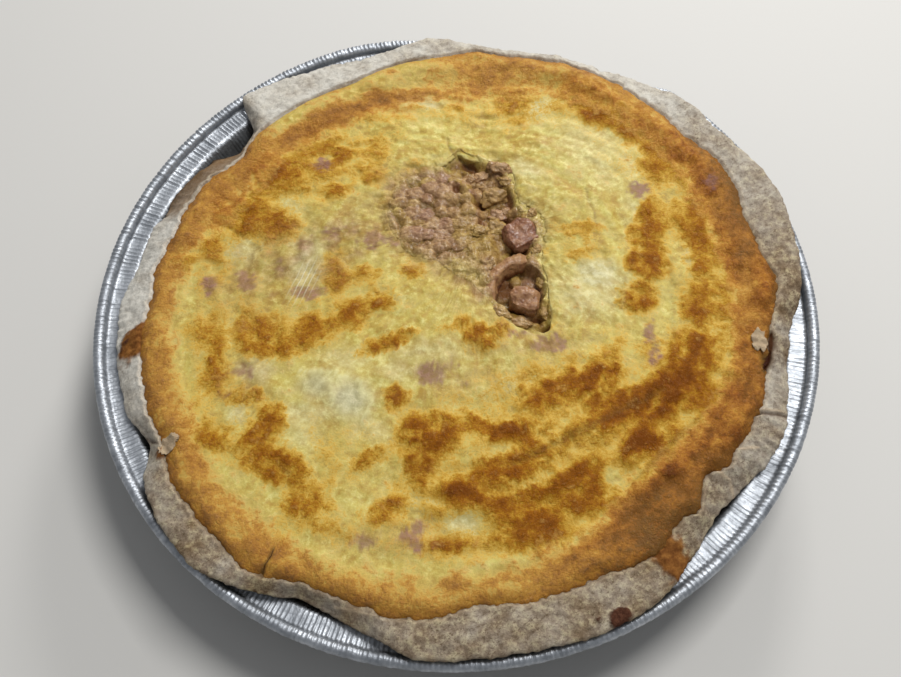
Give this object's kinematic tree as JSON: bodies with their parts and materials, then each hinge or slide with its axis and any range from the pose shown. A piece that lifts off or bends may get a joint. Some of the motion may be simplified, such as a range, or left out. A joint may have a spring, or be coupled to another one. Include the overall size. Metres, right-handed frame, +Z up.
{
  "type": "ham and cheese tart",
  "caption": "Round savoury tart of ham, egg and cheese in a pastry case, baked in a shallow fluted foil tin, its browned top torn open right of the middle.",
  "frame": {"origin": "middle of the foil tin's underside, on the surface it stands on", "axes": "+Z up out of the tart's top; +X to the tart's right and +Y to its far side, seen with the torn opening right of and beyond the middle"},
  "size_m": [0.23, 0.2274, 0.0362],
  "materials": {
    "foil": "bright crinkled foil with fine pressed crimps",
    "pastry": "pale floury baked pastry with dark specks, browned in places",
    "filling": "moist lumpy minced ham bound with egg",
    "egg_and_cheese": "moist pale yellow baked egg and cheese with golden brown blisters",
    "ham": "moist pink cooked ham"
  },
  "bodies": {
    "root": {"foil_tin": "foil", "pastry_case": "pastry", "ham_filling": "filling", "egg_cheese_top": "egg_and_cheese", "ham_slab": "ham", "ham_curl": "ham", "ham_chunk": "ham"}
  },
  "joints": []
}
